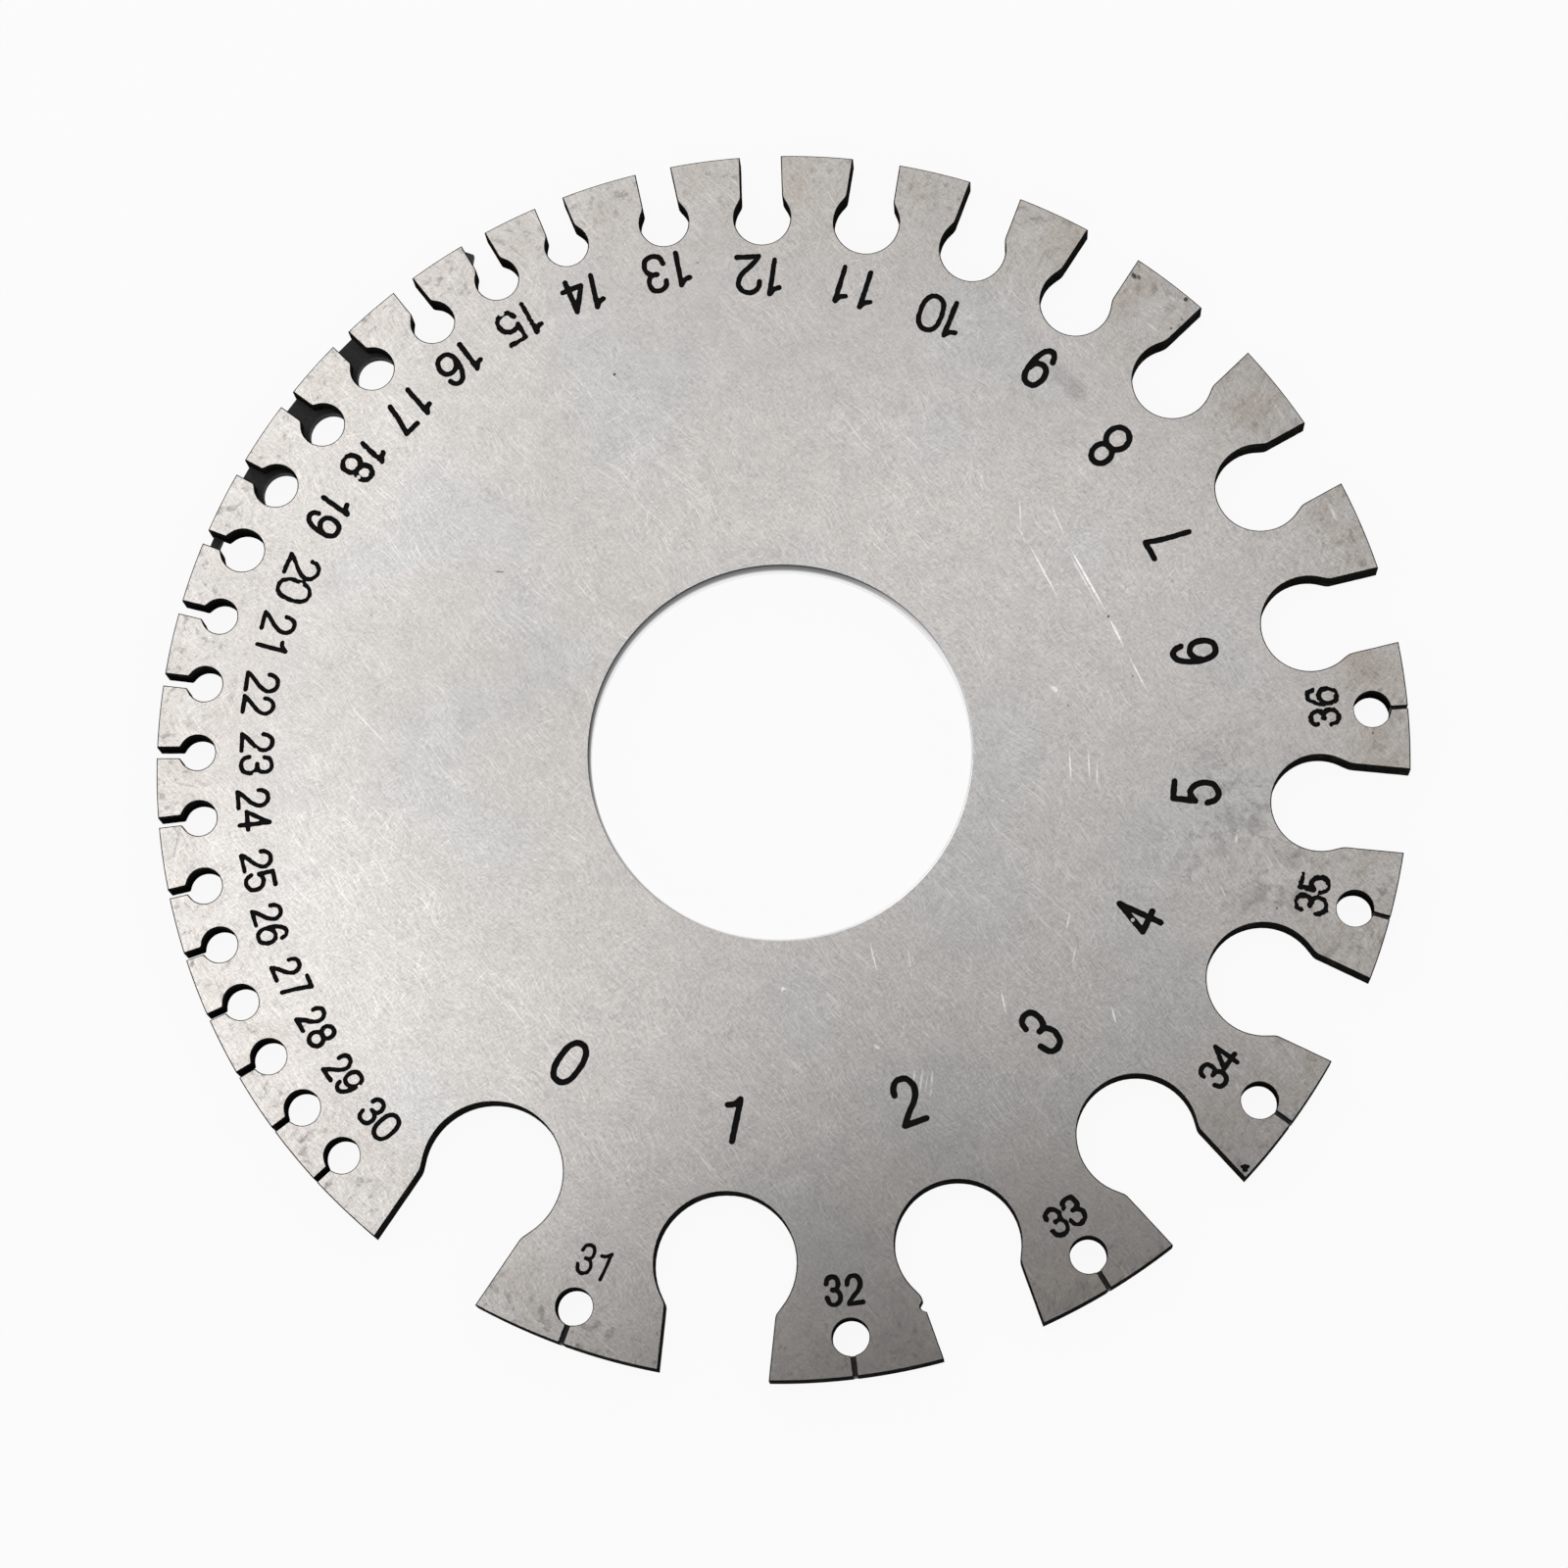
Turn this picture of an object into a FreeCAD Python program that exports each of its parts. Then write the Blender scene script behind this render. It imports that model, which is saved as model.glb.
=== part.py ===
import FreeCAD, Part
import Sketcher
import math
import os

# A round steel gauge plate for sheet and wire, numbered 0 to 36. It lies flat on its back.
# The origin is the centre of its lower face, +Z is up and +X points between slots 5 and 36.

# Overall sizes in millimetres, and the angle of slot 0 in degrees from +X
SIZES = {
    "plate_diameter": 82.55,
    "plate_thickness": 2.0,
    "centre_hole_diameter": 25.1,
    "edge_break": 0.15,
    "mouth_overrun": 1.0,
    "first_slot_angle": -123.65,
    "width_per_ounce": 0.0396875,
    "nick_from_rim": 3.75,
    "nick_diameter": 0.62,
    "pit_from_rim": 0.65,
    "pit_from_slot": 0.45,
    "pit_diameter": 0.6,
    "pit_depth": 0.25,
}

# Weight in ounces of a square foot of the sheet that each slot fits, from gauge 0 to gauge 36.
# A slot's width is this weight times width_per_ounce.
SHEET_OUNCES = [
    200, 180, 170, 160, 150, 140, 130, 120, 110, 100,
    90, 80, 70, 60, 50, 45, 40, 36, 32, 28,
    24, 22, 20, 18, 16, 14, 12, 11, 10, 9,
    8, 7, 6.5, 6, 5.5, 5, 4.5,
]

# Degrees from each of slots 0 to 29 to the next one, anticlockwise seen from above
SLOT_PITCHES = [
    27.95, 25.4, 22.65, 21.75, 20.05, 19.45, 15.6, 14.9, 13.3, 12.25,
    11.55, 10.95, 10.2, 10.25, 7.9, 7.9, 7.75, 7.6, 7.75, 7.35,
    7.05, 7.0, 6.95, 6.6, 6.75, 6.05, 6.05, 6.0, 6.0, 6.05,
]

# Each slot ends in a drilled relief hole: the slots that share a drill, its diameter,
# and how far in from the rim each hole's centre lies
RELIEF_DRILLS = [
    (9.2, {0: 7.85, 1: 7.4}),
    (8.15, {2: 6.85}),
    (7.8, {3: 6.9}),
    (7.4, {4: 6.3}),
    (6.4, {5: 5.75, 6: 5.4}),
    (5.9, {7: 4.9}),
    (5.3, {8: 5.0}),
    (4.75, {9: 4.75}),
    (4.4, {10: 4.5, 11: 4.35}),
    (3.8, {12: 4.35}),
    (3.3, {13: 3.8}),
    (2.9, {14: 3.3, 15: 3.3, 16: 3.35, 17: 3.05, 18: 3.05, 19: 2.75, 20: 2.7}),
    (2.35, {21: 2.75, 22: 2.75, 23: 2.7, 24: 2.7, 25: 2.4, 26: 2.4, 27: 2.35, 28: 2.35, 29: 2.35, 30: 2.35}),
    (2.4, {31: 2.5, 32: 2.55, 33: 2.55, 34: 2.5, 35: 2.35, 36: 2.35}),
]

# Slots 31 to 36 stand in the middle of the broad teeth that follow slots 0 to 5
FIRST_HAIRLINE = 31
SLOT_GROUPS = {"broad": range(14), "fine": range(14, FIRST_HAIRLINE), "hairline": range(FIRST_HAIRLINE, 37)}

RIM = "sizes.plate_diameter / 2"


def fill_sheet(doc):
    """Write every driving size in one sheet, a row for each."""
    sheet = doc.addObject("Spreadsheet::Sheet", "sizes")
    rows = list(SIZES.items())
    rows += [("ounces_%02d" % number, ounces) for number, ounces in enumerate(SHEET_OUNCES)]
    rows += [("pitch_%02d" % number, pitch) for number, pitch in enumerate(SLOT_PITCHES)]
    for drill, (diameter, insets) in enumerate(RELIEF_DRILLS):
        rows.append(("drill_%02d" % drill, diameter))
        rows += [("inset_%02d" % number, inset) for number, inset in insets.items()]
    for row, (alias, value) in enumerate(rows, start=1):
        sheet.set("A%d" % row, alias)
        sheet.set("B%d" % row, str(value))
        sheet.setAlias("B%d" % row, alias)
    doc.recompute()


def pitches_before(number):
    """Numbers of the whole pitches that lead up to a slot, and of the one it halves, if any."""
    if number < FIRST_HAIRLINE:
        return range(number), None
    return range(number - FIRST_HAIRLINE), number - FIRST_HAIRLINE


def angle_of(number):
    """A slot's angle in degrees: the pitches added up from slot 0."""
    whole, halved = pitches_before(number)
    half = SLOT_PITCHES[halved] / 2 if halved is not None else 0
    return SIZES["first_slot_angle"] + sum(SLOT_PITCHES[k] for k in whole) + half


def angle_rule(number):
    """The same angle as an expression on the sheet."""
    whole, halved = pitches_before(number)
    terms = ["sizes.first_slot_angle"] + ["sizes.pitch_%02d" % k for k in whole]
    if halved is not None:
        terms.append("sizes.pitch_%02d / 2" % halved)
    return "(%s) * 1 deg" % " + ".join(terms)


def width_rule(number):
    """A slot's width: the thickness of the sheet that it fits."""
    return "sizes.ounces_%02d * sizes.width_per_ounce" % number


def inner_rule(number):
    """Distance from the plate's centre to a relief hole's centre, where its slot ends."""
    return "%s - sizes.inset_%02d" % (RIM, number)


def spoke(angle, length):
    """The point at a distance from the plate's centre, at an angle in degrees."""
    turn = math.radians(angle)
    return FreeCAD.Vector(length * math.cos(turn), length * math.sin(turn), 0)


def new_sketch(body, name, angle="0"):
    """Sketch on the plate's lower face, with its X axis turned to the given angle."""
    sketch = body.newObject("Sketcher::SketchObject", name)
    base = [plane for plane in body.Origin.OriginFeatures if plane.Role == "XY_Plane"][0]
    sketch.AttachmentSupport = (base, [""])
    sketch.MapMode = "FlatFace"
    sketch.setExpression("AttachmentOffset.Rotation.Angle", angle)
    return sketch


def bind(sketch, rules):
    """Add named dimensions to a sketch, each tied to the sheet: name, expression, constraint."""
    first = sketch.ConstraintCount
    sketch.addConstraint([Sketcher.Constraint(*constraint) for name, expression, constraint in rules])
    for index, (name, expression, constraint) in enumerate(rules, start=first):
        sketch.renameConstraint(index, name)
        sketch.setExpression("Constraints." + name, expression)


def draw_circle(sketch, x, y, diameter, x_rule, y_rule, diameter_rule):
    """Circle at a place and of a size that are bound by three rules."""
    place, up = FreeCAD.Vector(x, y, 0), FreeCAD.Vector(0, 0, 1)
    circle = sketch.addGeometry(Part.Circle(place, up, diameter / 2))
    bind(sketch, [("centre_x", x_rule, ("DistanceX", -1, 1, circle, 3, x)),
                  ("centre_y", y_rule, ("DistanceY", -1, 1, circle, 3, y)),
                  ("diameter", diameter_rule, ("Diameter", circle, diameter))])


def draw_relief(sketch, number, drill, diameter, inset):
    """Circle at the end of a construction line that runs out from the plate's centre."""
    angle, reach = angle_of(number), SIZES["plate_diameter"] / 2 - inset
    end, up = spoke(angle, reach), FreeCAD.Vector(0, 0, 1)
    line = sketch.addGeometry(Part.LineSegment(FreeCAD.Vector(0, 0, 0), end), True)
    circle = sketch.addGeometry(Part.Circle(end, up, diameter / 2))
    sketch.addConstraint([Sketcher.Constraint("Coincident", line, 1, -1, 1),
                          Sketcher.Constraint("Coincident", line, 2, circle, 3)])
    name = "_%02d" % number
    bind(sketch, [("angle" + name, angle_rule(number), ("Angle", line, math.radians(angle))),
                  ("reach" + name, inner_rule(number), ("Distance", line, reach)),
                  ("drill" + name, "sizes.drill_%02d" % drill, ("Diameter", circle, diameter))])


def draw_slot(sketch, number, inset):
    """Rectangle that runs out past the rim, with its middle line through the plate's centre."""
    angle, half = angle_of(number), SHEET_OUNCES[number] * SIZES["width_per_ounce"] / 2
    inner, outer = SIZES["plate_diameter"] / 2 - inset, SIZES["plate_diameter"] / 2 + SIZES["mouth_overrun"]
    side = spoke(angle + 90, half)
    ends = [spoke(angle, inner), spoke(angle, outer)]
    corners = [ends[0] - side, ends[1] - side, ends[1] + side, ends[0] + side]
    right, mouth, left, root = sketch.addGeometry(
        [Part.LineSegment(corners[k], corners[(k + 1) % 4]) for k in range(4)])
    loop = [right, mouth, left, root]
    sketch.addConstraint(
        [Sketcher.Constraint("Coincident", loop[k], 2, loop[(k + 1) % 4], 1) for k in range(4)]
        + [Sketcher.Constraint("Parallel", right, left)]
        + [Sketcher.Constraint("Perpendicular", right, across) for across in (mouth, root)])
    name, half_rule = "_%02d" % number, width_rule(number) + " / 2"
    bind(sketch, [("angle" + name, angle_rule(number), ("Angle", right, math.radians(angle))),
                  ("right" + name, half_rule, ("Distance", -1, 1, right, half)),
                  ("left" + name, half_rule, ("Distance", -1, 1, left, half)),
                  ("root" + name, inner_rule(number), ("Distance", -1, 1, root, inner)),
                  ("mouth" + name, RIM + " + sizes.mouth_overrun", ("Distance", -1, 1, mouth, outer))])


def cut(body, sketch, name, depth=None):
    """Cut a sketch up through the plate, or down into its upper face to a stated depth."""
    pocket = body.newObject("PartDesign::Pocket", name)
    pocket.Profile = sketch
    pocket.Refine = False
    sketch.Visibility = False
    if depth is None:
        pocket.Type = "ThroughAll"
        pocket.Reversed = True
    else:
        pocket.setExpression("Length", depth)
    return pocket


def make_blank(body):
    """Disc with its centre hole, and the four round edges broken."""
    sketch = new_sketch(body, "disc_outline")
    centre, up = FreeCAD.Vector(0, 0, 0), FreeCAD.Vector(0, 0, 1)
    for name in ("plate_diameter", "centre_hole_diameter"):
        circle = sketch.addGeometry(Part.Circle(centre, up, SIZES[name] / 2))
        sketch.addConstraint(Sketcher.Constraint("Coincident", circle, 3, -1, 1))
        bind(sketch, [(name, "sizes." + name, ("Diameter", circle, SIZES[name]))])
    pad = body.newObject("PartDesign::Pad", "disc")
    pad.Profile = sketch
    pad.setExpression("Length", "sizes.plate_thickness")
    sketch.Visibility = False
    body.Document.recompute()
    rings = ["Edge%d" % number for number, edge in enumerate(pad.Shape.Edges, start=1)
             if isinstance(edge.Curve, Part.Circle)]
    chamfer = body.newObject("PartDesign::Chamfer", "broken_edges")
    chamfer.Base = (pad, rings)
    chamfer.setExpression("Size", "sizes.edge_break")


def cut_notches(body):
    """Drill the relief holes, then saw the slots that run into them from the rim."""
    holes = {number: (drill, diameter, inset) for drill, (diameter, insets) in enumerate(RELIEF_DRILLS)
             for number, inset in insets.items()}
    for group, numbers in SLOT_GROUPS.items():
        reliefs = new_sketch(body, group + "_relief_layout")
        slots = new_sketch(body, group + "_slot_layout")
        for number in numbers:
            draw_relief(reliefs, number, *holes[number])
            draw_slot(slots, number, holes[number][-1])
        cut(body, reliefs, group + "_relief_holes")
        cut(body, slots, group + "_slots")


def cut_wear(body):
    """The nick in one side of slot 2, and the pit at the corner of the tooth beside slot 3."""
    rim = SIZES["plate_diameter"] / 2
    side_2, side_3 = [SHEET_OUNCES[number] * SIZES["width_per_ounce"] / 2 for number in (2, 3)]
    nick = new_sketch(body, "nick_outline", angle_rule(2))
    draw_circle(nick, rim - SIZES["nick_from_rim"], -side_2, SIZES["nick_diameter"],
                RIM + " - sizes.nick_from_rim", "-%s / 2" % width_rule(2), "sizes.nick_diameter")
    cut(body, nick, "nick")
    pit = new_sketch(body, "pit_outline", angle_rule(3))
    pit.setExpression("AttachmentOffset.Base.z", "sizes.plate_thickness")
    draw_circle(pit, rim - SIZES["pit_from_rim"], side_3 + SIZES["pit_from_slot"], SIZES["pit_diameter"],
                RIM + " - sizes.pit_from_rim", "%s / 2 + sizes.pit_from_slot" % width_rule(3),
                "sizes.pit_diameter")
    cut(body, pit, "pit", "sizes.pit_depth")


def check(doc, bodies):
    """Stop unless every object was rebuilt and each sub-part is one sound solid."""
    for item in doc.Objects:
        if "Invalid" in item.State or "Error" in item.State:
            raise RuntimeError("%s failed: %s" % (item.Name, item.State))
    for body in bodies:
        shape = body.Shape
        if shape.isNull() or not shape.isValid() or len(shape.Solids) != 1:
            raise RuntimeError("%s isn't one sound solid" % body.Label)
        print(body.Label, "volume %.2f mm3" % shape.Volume, shape.BoundBox)


def main():
    doc = FreeCAD.newDocument("wire_gauge_plate")
    fill_sheet(doc)
    body = doc.addObject("PartDesign::Body", "gauge_plate")
    body.Label = "gauge_plate"
    make_blank(body)
    cut_notches(body)
    cut_wear(body)
    doc.recompute()
    check(doc, [body])
    os.makedirs("parts", exist_ok=True)
    body.Shape.exportStep("parts/%s.step" % body.Label)


main()
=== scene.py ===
"""The looks of a round sheet and wire gauge: ground steel, 37 notches, black numbers, and its studio."""

import math
from functools import partial

import bmesh
import bpy
import numpy as np
from mathutils import Matrix, Vector
from mathutils.geometry import delaunay_2d_cdt


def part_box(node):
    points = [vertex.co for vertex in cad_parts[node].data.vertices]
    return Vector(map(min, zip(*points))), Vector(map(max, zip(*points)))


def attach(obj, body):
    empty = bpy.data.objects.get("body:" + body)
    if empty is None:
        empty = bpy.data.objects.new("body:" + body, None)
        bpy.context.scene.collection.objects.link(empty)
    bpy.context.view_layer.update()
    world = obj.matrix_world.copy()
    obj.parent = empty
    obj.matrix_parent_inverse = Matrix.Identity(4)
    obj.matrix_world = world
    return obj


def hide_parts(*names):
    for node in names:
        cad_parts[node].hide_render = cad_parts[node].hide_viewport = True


bl_info = {
    "name": "Wire Gauge Plate",
    "version": (1, 0, 0),
    "blender": (4, 5, 0),
    "location": "3D View > Sidebar > Gauge Plate",
    "description": "A round sheet and wire gauge with its notches, numbers, finishes and studio",
    "category": "Object",
}

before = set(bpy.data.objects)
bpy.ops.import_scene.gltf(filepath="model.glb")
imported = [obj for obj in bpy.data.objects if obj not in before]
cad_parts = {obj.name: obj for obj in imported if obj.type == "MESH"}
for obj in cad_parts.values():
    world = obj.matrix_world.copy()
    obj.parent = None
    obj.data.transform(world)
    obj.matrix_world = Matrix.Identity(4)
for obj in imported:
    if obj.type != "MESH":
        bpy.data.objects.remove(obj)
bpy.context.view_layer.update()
PLATE_LOW, PLATE_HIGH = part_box("gauge_plate")

MM = 0.001
FACE_HEIGHT = 2.0      # mm from the floor to the upper face

# ---- the gauge's own tables

# Weight of the sheet that each slot fits, slot 0 to slot 36, in ounces a square foot.
SHEET_OUNCES = (
    200, 180, 170, 160, 150, 140, 130, 120, 110, 100, 90, 80, 70, 60, 50, 45, 40, 36, 32,
    28, 24, 22, 20, 18, 16, 14, 12, 11, 10, 9, 8, 7, 6.5, 6, 5.5, 5, 4.5,
)
SLOT_FOR_AN_OUNCE = 0.0396875 * MM

# Degrees from slot 0 to 1, 1 to 2 and so on to slot 30, and where slot 0 points.
SLOT_PITCHES = (
    27.95, 25.4, 22.65, 21.75, 20.05, 19.45, 15.6, 14.9, 13.3, 12.25,
    11.55, 10.95, 10.2, 10.25, 7.9, 7.9, 7.75, 7.6, 7.75, 7.35,
    7.05, 7.0, 6.95, 6.6, 6.75, 6.05, 6.05, 6.0, 6.0, 6.05,
)
FIRST_SLOT_ANGLE = -123.65
FIRST_BETWEEN = 31          # slots 31 to 36 lie midway between slots 0 to 6

# Relief holes: drill diameter, then how far in from the rim each slot's hole is, in mm.
RELIEF_DRILLS = (
    (9.2, {0: 7.85, 1: 7.4}), (8.15, {2: 6.85}), (7.8, {3: 6.9}), (7.4, {4: 6.3}), (6.4, {5: 5.75, 6: 5.4}),
    (5.9, {7: 4.9}), (5.3, {8: 5.0}), (4.75, {9: 4.75}), (4.4, {10: 4.5, 11: 4.35}), (3.8, {12: 4.35}),
    (3.3, {13: 3.8}),
    (2.9, {14: 3.3, 15: 3.3, 16: 3.35, 17: 3.05, 18: 3.05, 19: 2.75, 20: 2.7}),
    (2.35, {21: 2.75, 22: 2.75, 23: 2.7, 24: 2.7, 25: 2.4, 26: 2.4, 27: 2.35, 28: 2.35, 29: 2.35, 30: 2.35}),
    (2.4, {31: 2.5, 32: 2.55, 33: 2.55, 34: 2.5, 35: 2.35, 36: 2.35}),
)

# The numbers: distance from the plate's centre, angle, stroke, then each digit's left, right, top and
# bottom in hundredths of a mm about that place, with the plate's centre upwards. A 1 has the places
# across of its stem's top and foot instead of its sides.
NUMBERS = {
    0: (24.72, -123.37, 0.42, (-92, 99, 164, -164)),
    1: (24.67, -96.65, 0.42, (26, 3, 169, -154)),
    2: (24.75, -69.94, 0.42, (-104, 86, 179, -160)),
    3: (25.33, -47.65, 0.42, (-90, 83, 176, -169)),
    4: (26.27, -25.37, 0.42, (-103, 86, 203, -131)),
    5: (27.51, -6.24, 0.42, (-74, 100, 178, -157)),
    6: (28.19, 13.48, 0.42, (-85, 87, 176, -146)),
    7: (29.03, 28.52, 0.4, (-66, 100, 133, -193)),
    8: (30.12, 43.39, 0.42, (-92, 97, 173, -174)),
    9: (31.23, 56.49, 0.42, (-74, 94, 146, -167)),
    10: (31.64, 70.73, 0.37, (-83, -91, 137, -140), (-43, 140, 137, -143)),
    11: (32.27, 81.46, 0.37, (-61, -100, 150, -133), (110, 77, 129, -150)),
    12: (32.84, 92.69, 0.37, (-63, -106, 153, -124), (-24, 166, 136, -153)),
    13: (33.84, 103.24, 0.37, (-77, -86, 114, -153), (-7, 159, 119, -167)),
    14: (34.22, 113.09, 0.37, (-61, -100, 129, -131), (-33, 136, 107, -153)),
    15: (34.29, 121.05, 0.37, (-80, -90, 117, -146), (-23, 139, 107, -150)),
    16: (34.36, 129.11, 0.37, (-80, -91, 111, -136), (-24, 141, 114, -143)),
    17: (34.18, 136.95, 0.37, (-86, -110, 104, -143), (-6, 134, 104, -147)),
    18: (34.25, 144.81, 0.37, (-93, -119, 104, -114), (-43, 114, 103, -150)),
    19: (34.18, 152.31, 0.37, (-101, -130, 107, -129), (-44, 110, 110, -150)),
    20: (34.3, 159.56, 0.31, (-156, 6, 124, -124), (6, 173, 126, -126)),
    21: (34.45, 166.31, 0.31, (-146, 0, 111, -131), (104, 97, 97, -129)),
    22: (34.8, 173.72, 0.31, (-183, -31, 129, -110), (-21, 121, 120, -110)),
    23: (34.75, -179.92, 0.31, (-157, -11, 131, -103), (0, 141, 130, -105)),
    24: (34.98, -173.62, 0.31, (-159, -16, 124, -107), (-16, 137, 119, -110)),
    25: (35.24, -166.93, 0.31, (-153, -10, 119, -100), (-6, 129, 114, -104)),
    26: (35.37, -161.01, 0.31, (-143, -11, 115, -100), (-3, 129, 110, -110)),
    27: (35.29, -154.79, 0.31, (-137, -9, 103, -107), (14, 124, 116, -107)),
    28: (35.4, -148.66, 0.32, (-139, -16, 121, -93), (-3, 123, 117, -93)),
    29: (35.59, -142.82, 0.32, (-134, -10, 119, -96), (-3, 126, 110, -96)),
    30: (35.69, -136.72, 0.32, (-139, -14, 119, -93), (-7, 136, 121, -96)),
    31: (35.76, -109.2, 0.25, (-119, -9, 119, -96), (81, 67, 107, -96)),
    32: (35.73, -83.14, 0.33, (-127, -9, 114, -100), (6, 130, 107, -104)),
    33: (35.93, -58.68, 0.33, (-153, -17, 114, -100), (-17, 114, 120, -97)),
    34: (35.57, -36.29, 0.33, (-140, -11, 119, -93), (-14, 136, 129, -79)),
    35: (36.15, -15.63, 0.33, (-137, 3, 119, -114), (10, 141, 119, -97)),
    36: (35.92, 4.39, 0.33, (-131, 1, 121, -96), (9, 144, 133, -89)),
}

# The middle lines of digits in a box 100 wide and 100 high, as runs of points. A curved run is smoothed
# through its points. A 9 is a 6 upside down, and 0, 1 and 8 are drawn in digit_lines.
CURVED, STRAIGHT = "curved", "straight"
DIGIT_LINES = {
    "2": [
        (CURVED, [(4, 70), (8, 83), (25, 96), (50, 100), (78, 95), (97, 78), (93, 60), (72, 42),
                  (40, 25), (15, 10), (3, 0)]),
        (STRAIGHT, [(3, 0), (100, 0)]),
    ],
    "3": [
        (CURVED, [(4, 76), (12, 92), (45, 100), (80, 95), (93, 78), (88, 62), (68, 54), (45, 53)]),
        (CURVED, [(45, 53), (75, 51), (97, 38), (100, 25), (88, 8), (50, 0), (15, 7), (0, 27)]),
    ],
    "4": [
        (STRAIGHT, [(70, 0), (70, 100), (0, 27), (100, 27)]),
    ],
    "5": [
        (STRAIGHT, [(92, 100), (5, 100), (3, 50)]),
        (CURVED, [(3, 50), (20, 58), (50, 63), (85, 52), (100, 32), (92, 12), (55, 0), (20, 5), (0, 23)]),
    ],
    "6": [
        (CURVED, [(95, 78), (85, 93), (60, 100), (30, 92), (8, 68), (0, 40), (3, 20), (20, 4), (50, 0),
                  (82, 6), (100, 30), (90, 52), (55, 60), (20, 52), (3, 35)]),
    ],
    "7": [
        (STRAIGHT, [(0, 100), (100, 100)]),
        (CURVED, [(100, 100), (68, 55), (42, 0)]),
    ],
}


def slot_bearing(slot):
    """The angle that a slot points at, in degrees counter-clockwise from +X."""
    if slot >= FIRST_BETWEEN:
        before = slot - FIRST_BETWEEN
        return (slot_bearing(before) + slot_bearing(before + 1)) / 2
    return FIRST_SLOT_ANGLE + sum(SLOT_PITCHES[:slot])


# Each slot's relief hole: its radius and its depth in from the rim, in metres.
RELIEF = {
    slot: (drill / 2 * MM, inset * MM) for drill, insets in RELIEF_DRILLS for slot, inset in insets.items()
}


def polar(radius, degrees):
    """A place on the plate as x and y."""
    turn = math.radians(degrees)
    return np.array([radius * math.cos(turn), radius * math.sin(turn)])


# ---- node trees


def maths(operation, last=False):
    """A method of Shade that adds one Math node, with the socket first or last among its values."""
    def method(self, *others):
        values = (*others, self) if last else (self, *others)
        return make_node(self.tree, "ShaderNodeMath", {"operation": operation}, dict(enumerate(values)))
    return method


class Shade:
    """A socket of a node tree that can be used in a plain arithmetic expression."""

    def __init__(self, tree, socket):
        self.tree, self.socket = tree, socket

    __add__ = __radd__ = maths("ADD")
    __mul__ = __rmul__ = maths("MULTIPLY")
    __sub__, __rsub__ = maths("SUBTRACT"), maths("SUBTRACT", last=True)
    __truediv__, __rtruediv__ = maths("DIVIDE"), maths("DIVIDE", last=True)
    at_least, at_most, over = maths("MAXIMUM"), maths("MINIMUM"), maths("GREATER_THAN")
    size, root, floor = maths("ABSOLUTE"), maths("SQRT"), maths("FLOOR")
    sine, cosine, arcsine = maths("SINE"), maths("COSINE"), maths("ARCSINE")

    def rise(self, low, high, top=1.0):
        """0 below low and top above high, smooth between; with low above high it falls."""
        return make_node(self.tree, "ShaderNodeMapRange", {"interpolation_type": "SMOOTHSTEP"},
                         {"Value": self, "From Min": low, "From Max": high, "To Max": top})


def make_node(tree, kind, settings=None, sockets=None, out=0):
    """Adds one node: its settings first, then the values or links of its sockets. Gives its output."""
    node = tree.nodes.new(kind)
    for name, value in (settings or {}).items():
        setattr(node, name, value)
    for name, value in (sockets or {}).items():
        if isinstance(value, Shade):
            tree.links.new(value.socket, node.inputs[name])
        else:
            node.inputs[name].default_value = value
    return Shade(tree, node.outputs[out]) if node.outputs else None


def mix(share, first, second):
    """first where share is 0 and second where it is 1."""
    return first + (second - first) * share


# ---- settings


def a_length(label, about, default):
    """A length that the panel shows."""
    return bpy.props.FloatProperty(
        name=label, description=about, default=default, unit="LENGTH", subtype="DISTANCE")


def a_colour(label, about, *default):
    """A colour that the panel shows."""
    return bpy.props.FloatVectorProperty(
        name=label, description=about, default=default, subtype="COLOR", size=3)


class GaugeSizes(bpy.types.PropertyGroup):
    """Sizes of the plate and of its finish."""

    plate_diameter: a_length("Plate diameter", "Across the rim", PLATE_HIGH[0] - PLATE_LOW[0])
    thickness: a_length("Thickness", "Of the sheet that the plate is cut from", PLATE_HIGH[2] - PLATE_LOW[2])
    centre_hole: a_length("Centre hole", "Diameter of the hole in the middle", 25.1 * MM)
    cut_edge: a_length("Cut edge", "How far the edges of the rim and notches are rounded", 0.075 * MM)
    hole_edge: a_length("Centre hole edge", "How far the edges of the centre hole are rounded", 0.15 * MM)
    wall_wave: a_length("Wall wave", "How far the notch walls wander from true", 0.012 * MM)
    number_depth: a_length("Number depth", "How deep the numbers are stamped", 0.12 * MM)
    number_ragged: a_length("Number raggedness", "How far the stamped edges wander", 0.02 * MM)


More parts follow.
